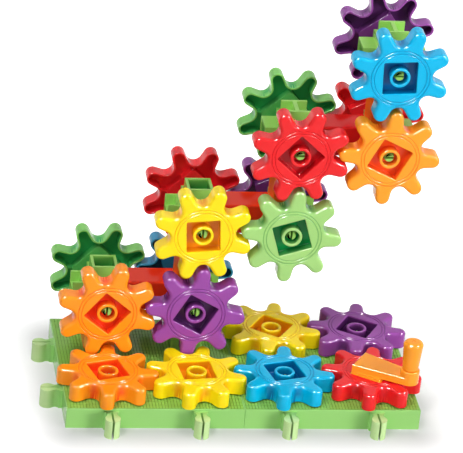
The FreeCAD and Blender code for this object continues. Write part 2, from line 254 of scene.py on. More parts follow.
@dataclass(frozen=True)
class MouldedSkin(SharedGroup):
    """The surface of moulded plastic: gloss that varies a little and a faint flow."""

    name: str = "moulded skin"
    inputs: tuple[tuple[str, str], ...] = (
        ("Place", "Vector"), ("Roughness", "Float"), ("Flow", "Float"))
    outputs: tuple[tuple[str, str], ...] = (("Roughness", "Float"), ("Height", "Float"))
    haze_scale: float = 120.0
    haze_detail: float = 4.0
    haze: float = 0.08
    flow_scale: float = 260.0
    flow_detail: float = 1.0

    def wire(self, shading: Shading, given: Sockets) -> Sockets:
        """Add haze to the roughness and make the flow's height.

        Args:
            shading: the group's tree.
            given: the group's inputs.

        Returns:
            The roughness and the height.
        """
        haze = shading.add("TexNoise", {"Vector": given["Place"], "Scale": self.haze_scale,
                                        "Detail": self.haze_detail})
        rough = shading.number("MULTIPLY_ADD", haze.outputs["Fac"], self.haze, given["Roughness"])
        flow = shading.add("TexNoise", {"Vector": given["Place"], "Scale": self.flow_scale,
                                        "Detail": self.flow_detail})
        height = shading.number("MULTIPLY", flow.outputs["Fac"], given["Flow"])
        return {"Roughness": rough, "Height": height}


@dataclass(frozen=True)
class PastPlates(SharedGroup):
    """How far past the two plates' outline a place lies, as a mask that rises from 0 to 1.

    From and To are the distances, in metres, where the rise starts and ends.
    """

    name: str = "past the plates"
    inputs: tuple[tuple[str, str], ...] = (("Place", "Vector"), ("From", "Float"), ("To", "Float"))
    outputs: tuple[tuple[str, str], ...] = (("Past", "Float"),)

    def wire(self, shading: Shading, given: Sockets) -> Sockets:
        """Measure from the outline and spread the distance over the rise.

        Args:
            shading: the group's tree.
            given: the group's inputs.

        Returns:
            The mask.
        """
        half_size = (2 * PITCH * MM, PITCH * MM, OVERHEAD * MM)
        out = shading.vector("ABSOLUTE", given["Place"]).outputs["Vector"]
        past = shading.vector("SUBTRACT", out, half_size).outputs["Vector"]
        past = shading.vector("MAXIMUM", past, (0.0, 0.0, 0.0)).outputs["Vector"]
        rise = shading.add("MapRange", {"Value": shading.vector("LENGTH", past).outputs["Value"],
                                        "From Min": given["From"], "From Max": given["To"]})
        return {"Past": rise.outputs["Result"]}


# -------------------- finishes

def linear(channel: float) -> float:
    """Turn one sRGB channel, 0 to 255, into scene light."""
    value = channel / 255.0
    return value / 12.92 if value <= 0.04045 else ((value + 0.055) / 1.055) ** 2.4


def scene_colour(colour: tuple[int, int, int]) -> tuple[float, ...]:
    """Turn an sRGB colour into a colour socket's value."""
    return (*map(linear, colour), 1.0)


@dataclass(frozen=True)
class Plastic:
    """A glossy moulded plastic.

    colour is how it looks on open surfaces, and the second colour is the painted shade that it
    takes down in a hollow, both in sRGB.
    The third colour, if given, is a painted highlight: the paler colour that it has where a snap
    tab reaches past the plates.
    mottle is how much its brightness drifts, flow how much its surface does, and bump_depth is
    in millimetres.
    """

    name: str
    slot: str
    colour: tuple[int, int, int]
    painted_shade_colour: tuple[int, int, int]
    tab_painted_light: Optional[tuple[int, int, int]] = None
    roughness: float = 0.1
    specular: float = 0.2
    mottle: float = 0.05
    flow: float = 0.06
    bump: float = 0.12
    bump_depth: float = 0.4

    def material(self) -> bpy.types.Material:
        """Build the node material once and return it afterwards.

        Returns:
            The material of this plastic.
        """
        known = bpy.data.materials.get(self.name)
        if known:
            return known
        made = bpy.data.materials.new(self.name)
        made.use_nodes = True
        shading = Shading(made.node_tree)
        place = shading.add("TexCoord").outputs["Object"]
        painted_shade = shading.add("Attribute", attribute_name=PAINTED_SHADE).outputs["Fac"]
        tone = shading.add("Group", {"Place": place, "Open colour": scene_colour(self.colour),
                                     "Painted shade colour": scene_colour(self.painted_shade_colour),
                                     "Painted shade": painted_shade, "Mottle": self.mottle},
                           node_tree=ToneAndPaintedShade().tree())
        colour = tone.outputs["Colour"]
        # painted highlight: snap tabs turn paler where they reach past the plates
        if self.tab_painted_light:
            tab = shading.add("Group", {"Place": place, "From": TAB_NECK_END * MM,
                                        "To": TAB_HEAD_END * MM}, node_tree=PastPlates().tree())
            colour = shading.mix(tab.outputs["Past"], colour, scene_colour(self.tab_painted_light))
        skin = shading.add("Group", {"Place": place, "Roughness": self.roughness,
                                     "Flow": self.flow}, node_tree=MouldedSkin().tree())
        bump = shading.add("Bump", {"Strength": self.bump, "Distance": self.bump_depth * MM,
                                    "Height": skin.outputs["Height"]})
        shader = made.node_tree.nodes["Principled BSDF"].inputs
        shading.feed(shader["Base Color"], colour)
        shading.feed(shader["Specular IOR Level"], self.specular)
        shading.feed(shader["Roughness"], skin.outputs["Roughness"])
        shading.feed(shader["Normal"], bump.outputs["Normal"])
        return made


class Finish(Enum):
    """The plastics of the toy."""

    ORANGE = Plastic("orange plastic", "gear_orange", (255, 150, 26), (240, 64, 22))
    AMBER = Plastic("amber plastic", "gear_amber", (255, 160, 40), (240, 84, 26))
    YELLOW = Plastic("yellow plastic", "gear_yellow", (255, 224, 16), (232, 142, 14))
    BLUE = Plastic("blue plastic", "gear_blue", (0, 180, 228), (0, 92, 150))
    RED = Plastic("red plastic", "gear_red", (234, 34, 38), (190, 14, 26))
    PURPLE = Plastic("purple plastic", "gear_purple", (150, 72, 160), (74, 30, 86))
    LIGHT_GREEN = Plastic("light green plastic", "gear_light_green", (162, 210, 122),
                          (6, 136, 62))
    # copies of blue and red for the back gears: the blue carries painted shade all over, the red a
    # lighter painted shade in its hollows
    BLUE_PAINTED_BACK_SHADE = Plastic("blue plastic with painted back shade", "gear_blue", (52, 150, 196), (30, 66, 104))
    RED_PAINTED_BACK_SHADE = Plastic("red plastic with painted back shade", "gear_red", (234, 40, 44), (236, 34, 42))
    DARK_GREEN = Plastic("back green plastic", "gear_dark_green", (130, 204, 100), (14, 156, 80))
    AXLE = Plastic("axle green plastic", "axle_green", (152, 208, 98), (24, 128, 48))
    # the third colour is the snap tabs' painted highlight
    PLATE = Plastic("plate green plastic", "plate_green", (148, 204, 114), (78, 150, 52),
                    (196, 228, 158))
    # a darker copy of the plate green: painted shade on the plate's top, which takes less light
    # than its front
    PLATE_TOP_PAINTED_SHADE = Plastic("plate green with painted top shade", "plate_green", (138, 192, 84), (74, 118, 36))
    PILLAR_ORANGE = Plastic("pillar orange plastic", "pillar_orange", (250, 122, 34),
                            (226, 60, 18), specular=0.1)
    PILLAR_RED_ORANGE = Plastic("pillar red-orange plastic", "pillar_red_orange", (236, 56, 26),
                                (206, 30, 14), specular=0.1)
    PILLAR_RED = Plastic("pillar red plastic", "pillar_red", (226, 34, 32), (180, 16, 18),
                         specular=0.1)


# -------------------- mesh helpers

def polar(radius: float, angle: float) -> Vector:
    """A point of the plane at a distance and angle, in radians, from the axis."""
    return Vector((radius * math.cos(angle), radius * math.sin(angle)))


@dataclass(frozen=True)
class Ring:
    """One closed loop of a loft: a section at a size and a height, and how deep in a hollow it is,
    which is the share of painted shade that it gets.

    A section's third number, from 0 to 1, says how far a point is down in a dip of its own, and
    the last field is the painted shade that this adds there.
    """

    section: Section
    size: float
    height: float
    painted_shade: float = 0.0
    painted_valley_shade: float = 0.0

    def settle(self, made: bmesh.types.BMesh, vertices: Iterable[bmesh.types.BMVert]) -> None:
        """Move a loop's vertices to this ring and note how deep they lie, as their share of painted
        shade.

        Args:
            made: the mesh that they are in.
            vertices: the vertices.
        """
        station = made.verts.layers.int[STATION]
        painted_shade = made.verts.layers.float[PAINTED_SHADE]
        for vertex in vertices:
            point = self.section(vertex[station], self.size)
            down = point.z if len(point) > 2 else 0.0
            vertex.co = (point.x, point.y, self.height)
            vertex[painted_shade] = min(self.painted_shade + self.painted_valley_shade * down, 1.0)


def rounded(section: Section, start: tuple[float, float], corner: tuple[float, float],
            end: tuple[float, float], steps: int = EDGE_STEPS, painted_shade: float = 0.0,
            painted_valley_shade: float = 0.0) -> list[Ring]:
    """The rings of a quarter round between two legs.

    Args:
        section: the shape of the rings.
        start: size and height where the round begins.
        corner: size and height of the sharp corner that it replaces.
        end: size and height where the round ends.
        steps: how many strips the round has.
        painted_shade: how deep in a hollow it is, its share of painted shade.
        painted_valley_shade: the painted shade that a dip adds at its start; at its end a dip adds
            nothing.

    Returns:
        The rings from start to end.
    """
    rings = []
    for step in range(steps + 1):
        angle = QUARTER * step / steps
        into = 1 - math.sin(angle)
        out = 1 - math.cos(angle)
        size = corner[0] + (start[0] - corner[0]) * into + (end[0] - corner[0]) * out
        height = corner[1] + (start[1] - corner[1]) * into + (end[1] - corner[1]) * out
        rings.append(Ring(section, size, height, painted_shade, painted_valley_shade * (1 - step / steps)))
    return rings


def new_mesh() -> bmesh.types.BMesh:
    """An empty mesh with the layers that every moulding uses.

    Returns:
        The mesh.
    """
    made = bmesh.new()
    made.verts.layers.int.new(STATION)
    made.verts.layers.float.new(PAINTED_SHADE)
    return made


def loft(made: bmesh.types.BMesh, rings: list[Ring], stations: int,
         closed: bool = False) -> Vertices:
    """Extrude one loop through every ring.

    Args:
        made: the mesh that the loft is added to.
        rings: the rings in order.
        stations: how many vertices each ring has.
        closed: join the last ring to the first; otherwise both ends are capped.

    Returns:
        The new vertices.
    """
    added = list(bmesh.ops.create_circle(made, segments=stations, radius=1.0)["verts"])
    station = made.verts.layers.int[STATION]
    for number, vertex in enumerate(added):
        vertex[station] = number
    rings[0].settle(made, added)
    loop = list({edge for vertex in added for edge in vertex.link_edges})
    if not closed:
        bmesh.ops.contextual_create(made, geom=loop)
    for ring in rings[1:] + (rings[:1] if closed else []):
        grown = bmesh.ops.extrude_edge_only(made, edges=loop)["geom"]
        loop = [item for item in grown if isinstance(item, bmesh.types.BMEdge)]
        fresh = [item for item in grown if isinstance(item, bmesh.types.BMVert)]
        ring.settle(made, fresh)
        added += fresh
    if not closed:
        bmesh.ops.contextual_create(made, geom=loop)
    bmesh.ops.remove_doubles(made, verts=added, dist=SAME_POINT)
    kept = [vertex for vertex in added if vertex.is_valid]
    faces = list({face for vertex in kept for face in vertex.link_faces})
    bmesh.ops.recalc_face_normals(made, faces=faces)
    return kept


def link_new(name: str, made: bmesh.types.BMesh, place: Matrix) -> bpy.types.Object:
    """Turn a mesh in millimetres into an object in the toy's frame.

    Args:
        name: name of the object.
        made: the mesh, in its moulding's frame; it is freed.
        place: from the moulding's frame to the toy's, in metres.

    Returns:
        The object, at the origin, with its place in its mesh.
    """
    bmesh.ops.transform(made, matrix=place @ Matrix.Scale(MM, 4), verts=made.verts)
    for face in made.faces:
        face.smooth = True
    for edge in made.edges:
        edge.smooth = edge.calc_face_angle(0.0) < SHARP
    mesh = bpy.data.meshes.new(name)
    made.to_mesh(mesh)
    made.free()
    shown = bpy.data.objects.new(name, mesh)
    bpy.context.scene.collection.objects.link(shown)
    return shown


# -------------------- pieces

@dataclass
class Piece:
    """One piece of the toy: the CAD node that it stands for, its body and its finish."""

    node: str
    body: str
    finish: Finish

    def dress(self, shown: bpy.types.Object, bevel: float = 0.0, sharp: float = 40.0) -> None:
        """Give an object this piece's plastic and rounded edges.

        Args:
            shown: the object.
            bevel: width of the rounding of its sharp edges, in millimetres.
            sharp: angle in degrees over which an edge is rounded.
        """
        plastic = self.finish.value
        shown.data.materials.clear()
        shown.data.materials.append(plastic.material())
        if bevel:
            edges = shown.modifiers.new("rounded edges", "BEVEL")
            edges.limit_method = "ANGLE"
            edges.angle_limit = math.radians(sharp)
            edges.width = bevel * MM
            edges.segments = EDGE_STEPS
            edges.use_clamp_overlap = True
        even = shown.modifiers.new("even shading", "WEIGHTED_NORMAL")
        even.keep_sharp = not bevel
        LOG.info("made %s in %s", shown.name, plastic.name)

    def stand_in(self, made: bmesh.types.BMesh, place: Matrix,
                 bevel: float = 0.0) -> bpy.types.Object:
        """Show a mesh in the CAD node's stead, on the same body.

        Args:
            made: the mesh in millimetres, in its moulding's frame.
            place: from the moulding's frame to the toy's, in metres.
            bevel: width of the rounding of its sharp edges, in millimetres.

        Returns:
            The object.
        """
        shown = link_new(self.node + "_moulding", made, place)
        self.dress(shown, bevel)
        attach(shown, self.body)
        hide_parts(self.node)
        return shown

    def build(self) -> bpy.types.Object:
        """Make the piece's object; each kind of piece does so in its own way."""
        raise NotImplementedError


class Facing(Enum):
    """Which way a gear's face looks, by the first word of its node's name."""

    UP = "flat"
    FRONT = "front"
    BACK = "back"

    def turn(self) -> Matrix:
        """From the moulding's frame, face up, to this way of facing."""
        angle = {Facing.UP: 0.0, Facing.FRONT: QUARTER, Facing.BACK: -QUARTER}[self]
        return Matrix.Rotation(angle, 4, "X")


@dataclass
class ToyGear(Piece):
    """A gear with rounded teeth, a square pocket around a boss, two ring lines and a hollow back.

    Its moulding's frame has the gear's middle at the origin, its face up and a tooth along +X.
    """

    teeth: int = 8
    addendum: float = 4.0
    dedendum: float = 7.4
    tip_round: float = 4.5
    valley_round: float = 5.1
    thickness: float = 11.2
    face: float = 2.2
    wall: float = 1.3
    edge: float = 2.2
    lip: float = 0.5
    small_round: float = 0.3
    pocket: float = 21.7
    pocket_depth: float = 7.0
    pocket_corner: float = 0.8
    least_corner: float = 0.05
    pocket_wall: float = 1.6
    boss: float = 13.2
    boss_sink: float = 0.5
    boss_edge: float = 0.6
    mouth: float = 9.6
    mouth_edge: float = 0.5
    mouth_depth: float = 5.8
    bore: float = 6.16
    ring_radii: tuple[float, float] = (18.775, 16.775)
    ring_width: float = 1.0
    ring_depth: float = 0.45
    web: float = 1.3
    web_bite: float = 0.25       # share of the face's thickness that a web is let into
    # share of painted shade on the webs in the hollow back
    web_painted_shade: float = 0.75
    level: float = 0.01          # the CAD pocket's floor is this flat
    edge_steps: int = 7
    lip_steps: int = 4
    boss_steps: int = 4
    mouth_steps: int = 3
    ring_steps: int = 4
    tip_steps: int = 5
    flank_steps: int = 2
    valley_steps: int = 10

    @property
    def half_steps(self) -> int:
        """Strips from the middle of a tooth to the middle of a valley."""
        return self.tip_steps + self.flank_steps + self.valley_steps

    @property
    def stations(self) -> int:
        """Vertices around one ring."""
        return 2 * self.teeth * self.half_steps

    @property
    def half_tooth(self) -> float:
        """Angle from the middle of a tooth to the middle of a valley."""
        return math.pi / self.teeth

    @property
    def top(self) -> float:
        """Height of the face over the gear's middle, and of that over the back."""
        return self.thickness / 2

    def tooth(self, station: int, inset: float) -> Vector:
        """A point of the toothed outline.

        Args:
            station: the place around the ring; 0 is the middle of a tooth.
            inset: how far the outline is drawn in.

        Returns:
            The point, with the gear's axis at the origin, and how far down it is in a valley.
        """
        number, along = divmod(station, 2 * self.half_steps)
        side = 1
        if along > self.half_steps:
            number += 1
            along = 2 * self.half_steps - along
            side = -1
        middle = Vector((PITCH / 2 + self.addendum - self.tip_round, 0.0))
        gap = polar(PITCH / 2 - self.dedendum + self.valley_round, self.half_tooth)
        across = gap - middle
        lean = math.atan2(across.y, across.x)
        flank = lean - math.acos((self.tip_round + self.valley_round) / across.length)
        tip = self.tip_round - inset
        valley = self.valley_round + inset
        share = max(along - self.tip_steps, 0) / (self.flank_steps + self.valley_steps)
        down = math.sin(QUARTER * share) ** 2
        if along <= self.tip_steps:
            point = middle + polar(tip, flank * along / self.tip_steps)
        elif along < self.tip_steps + self.flank_steps:
            share = (along - self.tip_steps) / self.flank_steps
            point = (middle + polar(tip, flank)).lerp(gap + polar(valley, flank + math.pi), share)
        else:
            share = (along - self.tip_steps - self.flank_steps) / self.valley_steps
            point = gap + polar(valley, flank + math.pi + (self.half_tooth - flank) * share)
        point.y *= side
        point = Matrix.Rotation(2 * self.half_tooth * number, 2) @ point
        return Vector((point.x, point.y, down))

    def angle(self, station: int) -> float:
        """The angle of a station on a round or square ring."""
        return 2 * math.pi * station / self.stations

    def circle(self, station: int, radius: float) -> Vector:
        """A point of a round ring."""
        return polar(radius, self.angle(station))

    def square(self, station: int, grow: float) -> Vector:
        """A point of the square pocket's outline, whose corners point at valleys.

        Args:
            station: the place around the ring.
            grow: how far the outline is moved out all round.

        Returns:
            The point, with the gear's axis at the origin.
        """
        half = self.pocket / 2 + grow
        corner = max(self.pocket_corner + grow, self.least_corner)
        angle = self.angle(station)
        side = QUARTER / 2 - self.half_tooth
        away = (angle + side + QUARTER / 2) % QUARTER - QUARTER / 2
        inner = half - corner
        if math.tan(abs(away)) * half <= inner:
            return polar(half / math.cos(away), angle)
        along = inner * (math.cos(away) + math.sin(abs(away)))
        return polar(along + math.sqrt(along ** 2 - 2 * inner ** 2 + corner ** 2), angle)

    def face_rings(self) -> list[Ring]:
        """The outer wall from its foot up, the rounded front edge and the face with its ring lines.

        Returns:
            The rings in order.
        """
        top = self.top
        small = self.small_round
        rings = rounded(self.tooth, (small, -top), (0, -top), (0, small - top))
        # painted shade: the outer wall darkens toward its foot and down in each valley
        rings.append(Ring(self.tooth, 0, small - top, painted_shade=0.1, painted_valley_shade=0.9))
        rings.append(Ring(self.tooth, 0, 0, painted_valley_shade=0.85))
        rings += rounded(self.tooth, (0, top - self.edge), (0, top), (self.edge, top),
                         self.edge_steps, painted_valley_shade=0.6)
        # painted shade deepens toward the bottom of each ring line's groove
        for radius in self.ring_radii:
            half = self.ring_width / 2
            for share in range(self.ring_steps + 1):
                angle = math.pi * share / self.ring_steps
                depth = math.sin(angle)
                rings.append(Ring(self.circle, radius + half * math.cos(angle),
                                  top - self.ring_depth * depth, painted_shade=0.35 * depth))
        return rings

    def pocket_rings(self) -> list[Ring]:
        """The square pocket and the boss that stands in it, down to the running bore.

        Returns:
            The rings in order.
        """
        top = self.top
        floor = top - self.pocket_depth
        small = self.small_round
        boss = self.boss / 2
        boss_top = top - self.boss_sink
        step = boss_top - self.mouth_depth
        mouth = self.mouth / 2
        rings = rounded(self.square, (self.lip, top), (0, top), (0, top - self.lip),
                        self.lip_steps)
        # painted shade down the pocket's walls, on its floor, on the boss and down the bore
        rings.append(Ring(self.square, 0, top - 3 * self.lip, painted_shade=0.8))
        rings += rounded(self.square, (0, floor + small), (0, floor), (-small, floor), painted_shade=1.0)
        rings += rounded(self.circle, (boss + small, floor), (boss, floor), (boss, floor + small),
                         painted_shade=1.0)
        rings.append(Ring(self.circle, boss, boss_top - 3 * self.boss_edge, painted_shade=0.45))
        rings += rounded(self.circle, (boss, boss_top - self.boss_edge), (boss, boss_top),
                         (boss - self.boss_edge, boss_top), self.boss_steps)
        rings += rounded(self.circle, (mouth + self.mouth_edge, boss_top), (mouth, boss_top),
                         (mouth, boss_top - self.mouth_edge), self.mouth_steps)
        rings.append(Ring(self.circle, mouth, boss_top - 4 * self.mouth_edge, painted_shade=0.7))
        rings.append(Ring(self.circle, mouth, step, painted_shade=1.0))
        rings.append(Ring(self.circle, self.bore / 2, step, painted_shade=1.0))
        return rings

    def back_rings(self) -> list[Ring]:
        """The hollow back: the bore's foot, the boss, the pocket's cup and the wall's inside.

        Returns:
            The rings in order.
        """
        back = -self.top
        small = self.small_round
        inside = self.top - self.face
        cup = self.top - self.pocket_depth - self.pocket_wall
        boss = self.boss / 2
        bore = self.bore / 2
        around = self.pocket_wall
        # painted shade in the hollow back, most on its inside walls
        rings = rounded(self.circle, (bore, back + small), (bore, back), (bore + small, back),
                        painted_shade=0.5)
        rings += rounded(self.circle, (boss - small, back), (boss, back), (boss, back + small),
                         painted_shade=0.1)
        rings.append(Ring(self.circle, boss, cup, painted_shade=0.7))
        rings += rounded(self.square, (around - small, cup), (around, cup), (around, cup + small),
                         painted_shade=0.55)
        rings.append(Ring(self.square, around, inside, painted_shade=0.9))
        rings.append(Ring(self.tooth, self.wall + small, inside, painted_shade=0.9))
        rings.append(Ring(self.tooth, self.wall, inside - small, painted_shade=0.9))
        rings.append(Ring(self.tooth, self.wall, back + 4 * small, painted_shade=0.8))
        rings += rounded(self.tooth, (self.wall, back + small), (self.wall, back),
                         (self.wall - small, back))
        return rings

    def webs(self, made: bmesh.types.BMesh) -> None:
        """Add the webs that run from the pocket's corners to the valleys.

        Args:
            made: the gear's mesh.
        """
        high = self.top - self.face + self.face * self.web_bite
        floor = self.top - self.pocket_depth
        valley = PITCH / 2 - self.dedendum - self.wall / 2
        corner = (self.pocket / 2 + self.pocket_wall) * math.sqrt(2) - self.pocket_wall
        size = Matrix.Diagonal((valley - corner, self.web, high - floor, 1.0))
        at = Matrix.Translation(((valley + corner) / 2, 0, (high + floor) / 2))
        painted_shade = made.verts.layers.float[PAINTED_SHADE]
        for number in range(CORNERS):
            web = bmesh.ops.create_cube(made, size=1.0)["verts"]
            turn = Matrix.Rotation(self.half_tooth + number * QUARTER, 4, "Z")
            bmesh.ops.transform(made, matrix=turn @ at @ size, verts=web)
            # painted shade on the webs
            for vertex in web:
                vertex[painted_shade] = self.web_painted_shade

    def place(self) -> Matrix:
        """Where the gear is and how it is turned, read from the floor of the CAD node's pocket.

        Returns:
            From the moulding's frame to the toy's, in metres.
        """
        facing = Facing(self.node.split("_")[0]).turn()
        low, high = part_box(self.node)
        centre = (low + high) / 2
        back = (Matrix.Translation(centre) @ facing).inverted()
        floor = (self.top - self.pocket_depth) * MM
        least = self.pocket / 2 * MM
        most = least * math.sqrt(2)
        total = Vector((0.0, 0.0))
        for vertex in FRAME["nodes"][self.node].data.vertices:
            point = back @ vertex.co
            flat = point.xy
            if abs(point.z - floor) < self.level * MM and least < flat.length < most:
                total += polar(1.0, CORNERS * math.atan2(flat.y, flat.x))
        corner = math.atan2(total.y, total.x) / CORNERS
        turn = Matrix.Rotation(corner - self.half_tooth, 4, "Z")
        return Matrix.Translation(centre) @ facing @ turn

    def build(self) -> bpy.types.Object:
        """Model the gear and put it in place.

        Returns:
            The gear.
        """
        made = new_mesh()
        rings = self.face_rings() + self.pocket_rings() + self.back_rings()
        loft(made, rings, self.stations, closed=True)
        self.webs(made)
        return self.stand_in(made, self.place())


@dataclass
class SixWayAxle(Piece):
    """A hub with open stubs up and down, webbed stubs at its sides and a split pin front and back.

    Its moulding's frame has the hub's middle at the origin, and each arm is made along +Z there.
    """

    quarter_turn: bool = False
    hub: float = 20.5
    hub_edge: float = 0.8
    stub: float = 16.7
    reach: float = 20.0
    wall: float = 1.8
    pocket: float = 8.0
    pocket_shadow: float = 1.5   # how far down the pocket its painted shade has deepened
    web: float = 2.6
    recess_depth: float = 6.0
    collar: float = 12.4
    collar_top: float = 22.675
    pin: float = 6.0
    pin_root: float = 1.0        # how far the pin goes down into its collar
    barb: float = 0.6
    taper: float = 0.3
    pin_grip: float = 28.175
    pin_tip: float = 31.175
    slit: float = 1.3
    slit_length: float = 8.0
    round_steps: int = 32
    edge: float = 0.35

    def block(self, station: int, half: float) -> Vector:
        """A corner of a square section."""
        return polar(half * math.sqrt(2), QUARTER * (station + 0.5))

    def webbed(self, station: int, half_web: float) -> Vector:
        """A corner of an H section, three in each quarter.

        Args:
            station: the corner's place around the section.
            half_web: half the web's width; with the stub's own the section is a square.

        Returns:
            The corner.
        """
        half = self.stub / 2
        flange = half - self.wall
        quarter, corner = divmod(station, 3)
        order = 2 - corner if quarter in (1, 3) else corner
        # order 0 is the flange's outer corner, 1 its inner corner and 2 the web's corner
        x = (half, half, half_web)[order]
        y = (half, flange, flange)[order]
        return Vector((x if quarter in (0, 1) else -x, y if quarter in (1, 2) else -y))

    def circle(self, station: int, radius: float) -> Vector:
        """A point of a round section."""
        return polar(radius, 2 * math.pi * station / self.round_steps)

    def half_pin(self, station: int, radius: float) -> Vector:
        """A point of one half of the slit pin's section.

        Args:
            station: the place around the section.
            radius: the pin's radius there.

        Returns:
            The point, on the pin or on the slit's side.
        """
        point = self.circle(station, radius)
        near = self.slit / 2
        if point.x < near:
            chord = math.sqrt(radius ** 2 - near ** 2)
            point = Vector((near, max(-chord, min(chord, point.y))))
        return point

    def open_stub(self, made: bmesh.types.BMesh) -> Vertices:
        """Add a stub with a square pocket in its end.

        Args:
            made: the axle's mesh.

        Returns:
            The stub's vertices.
        """
        half = self.stub / 2
        inner = half - self.wall
        # painted shade deepening down the stub's pocket
        rings = [Ring(self.block, half, 0), Ring(self.block, half, self.reach),
                 Ring(self.block, inner, self.reach, painted_shade=0.1),
                 Ring(self.block, inner, self.reach - self.pocket_shadow, painted_shade=0.6),
                 Ring(self.block, inner, self.reach - self.pocket, painted_shade=1.0)]
        return loft(made, rings, CORNERS)

    def webbed_stub(self, made: bmesh.types.BMesh) -> Vertices:
        """Add a stub of H section.

        Args:
            made: the axle's mesh.

        Returns:
            The stub's vertices.
        """
        half = self.stub / 2
        half_web = self.web / 2
        floor = self.reach - self.recess_depth
        rings = [Ring(self.webbed, half, 0), Ring(self.webbed, half, floor),
                 Ring(self.webbed, half_web, floor), Ring(self.webbed, half_web, self.reach)]
        return loft(made, rings, 3 * CORNERS)

    def pin_arm(self, made: bmesh.types.BMesh) -> Vertices:
        """Add the square arm, its collar and the split pin.

        Args:
            made: the axle's mesh.

        Returns:
            The arm's vertices.
        """
        half = self.stub / 2
        added = loft(made, [Ring(self.block, half, 0), Ring(self.block, half, self.reach)],
                     CORNERS)
        collar = self.collar / 2
        added += loft(made, [Ring(self.circle, collar, self.hub / 2),
                             Ring(self.circle, collar, self.collar_top)], self.round_steps)
        pin = self.pin / 2
        split = self.pin_tip - self.slit_length
        # painted shade on the pin, most where it splits and fading toward its tip
        added += loft(made, [Ring(self.circle, pin, self.collar_top - self.pin_root),
                             Ring(self.circle, pin, split, painted_shade=0.6)], self.round_steps)
        rings = [Ring(self.half_pin, pin, split, painted_shade=0.7),
                 Ring(self.half_pin, pin, self.pin_grip, painted_shade=0.5),
                 Ring(self.half_pin, pin + self.barb, self.pin_grip, painted_shade=0.2),
                 Ring(self.half_pin, pin - self.taper, self.pin_tip)]
        for angle in (0.0, math.pi):
            half_pin = loft(made, rings, self.round_steps)
            bmesh.ops.transform(made, matrix=Matrix.Rotation(angle, 4, "Z"), verts=half_pin)
            added += half_pin
        return added

    def build(self) -> bpy.types.Object:
        """Model the axle and put it in place.

        Returns:
            The axle.
        """
        made = new_mesh()
        hub = bmesh.ops.create_cube(made, size=self.hub)["verts"]
        edges = list({edge for vertex in hub for edge in vertex.link_edges})
        bmesh.ops.bevel(made, geom=edges, offset=self.hub_edge, offset_type="OFFSET",
                        affect="EDGES", segments=EDGE_STEPS, profile=0.5, material=-1)
        for maker, axis, angles in ((self.open_stub, "Y", (0, math.pi)),
                                    (self.webbed_stub, "Y", (QUARTER, -QUARTER)),
                                    (self.pin_arm, "X", (QUARTER, -QUARTER))):
            for angle in angles:
                arm = maker(made)
                bmesh.ops.transform(made, matrix=Matrix.Rotation(angle, 4, axis), verts=arm)
        low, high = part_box(self.node)
        turn = Matrix.Rotation(QUARTER if self.quarter_turn else 0.0, 4, "Y")
        return self.stand_in(made, Matrix.Translation((low + high) / 2) @ turn, self.edge)


@dataclass
class Kept(Piece):
    """A piece whose CAD node is shown, with its triangles joined and its edges rounded."""

    bevel: float = 0.3
    sharp: float = 35.0
    joined: float = 0.002        # corners of triangles that are this close are one

    def build(self) -> bpy.types.Object:
        """Dress the CAD node.

        Returns:
            The node's object.
        """
        shown = FRAME["nodes"][self.node]
        for face in shown.data.polygons:
            face.use_smooth = True
        join = shown.modifiers.new("joined triangles", "WELD")
        join.merge_threshold = self.joined * MM
        self.dress(shown, self.bevel, self.sharp)
        return shown


@dataclass
class PlateGrid(Piece):
    """The grid of small raised tiles on top of a base plate."""

    columns: int = 56
    rows: int = 28
    margin: float = 0.8
    rise: float = 0.3
    groove: float = 0.26
    groove_painted_shade: float = 0.9
    sunk: float = 0.4
    plate_top: float = 14.0
    clear: float = 0.02          # keeps the grooves' floor off the plate's face

    def build(self) -> bpy.types.Object:
        """Model the tiles on the plate's top face.

        Returns:
            The grid.
        """
        made = new_mesh()
        painted_shade = made.verts.layers.float[PAINTED_SHADE]
        bmesh.ops.create_grid(made, x_segments=self.columns, y_segments=self.rows,
                              size=PITCH - self.margin)
        # painted shade in the grooves; the tiles are cleared of it below
        for vertex in made.verts:
            vertex[painted_shade] = self.groove_painted_shade
        tiles = list(made.faces)
        bmesh.ops.inset_individual(made, faces=tiles, thickness=self.groove, depth=self.rise)
        for tile in tiles:
            for vertex in tile.verts:
                vertex[painted_shade] = 0.0
        rim = [edge for edge in made.edges if edge.is_boundary]
        grown = bmesh.ops.extrude_edge_only(made, edges=rim)["geom"]
        lower = [item for item in grown if isinstance(item, bmesh.types.BMVert)]
        bmesh.ops.translate(made, verts=lower, vec=(0, 0, -self.sunk))
        loop = [item for item in grown if isinstance(item, bmesh.types.BMEdge)]
        bmesh.ops.contextual_create(made, geom=loop)
        bmesh.ops.recalc_face_normals(made, faces=made.faces)
        side = 1 if self.node.endswith("right") else -1
        at = Vector((side * PITCH, 0, self.plate_top + self.clear))
        shown = link_new(self.node + "_grid", made, Matrix.Translation(at * MM))
        shown.data.materials.append(self.finish.value.material())
        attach(shown, self.body)
        LOG.info("made %s in %s", shown.name, self.finish.value.name)
        return shown


# -------------------- studio

@dataclass(frozen=True)
class SoftBox:
    """A square lamp that looks at the toy: its place and size in metres and its power in watts.

    A sheen lamp shows only as a reflection in the gloss and lights nothing.
    """

    name: str
    at: tuple[float, float, float]
    size: float
    power: float
    sheen: bool = False
    aim: tuple[float, float, float] = (0.0, 0.0, 0.1)

    def build(self) -> None:
        """Add the lamp."""
        light = bpy.data.lights.new(self.name, "AREA")
        light.shape = "SQUARE"
        light.size = self.size
        light.energy = self.power
        lamp = bpy.data.objects.new(self.name, light)
        bpy.context.scene.collection.objects.link(lamp)
        lamp.location = self.at
        lamp.visible_diffuse = not self.sheen
        look = Vector(self.aim) - Vector(self.at)
        lamp.rotation_euler = look.to_track_quat("-Z", "Y").to_euler()


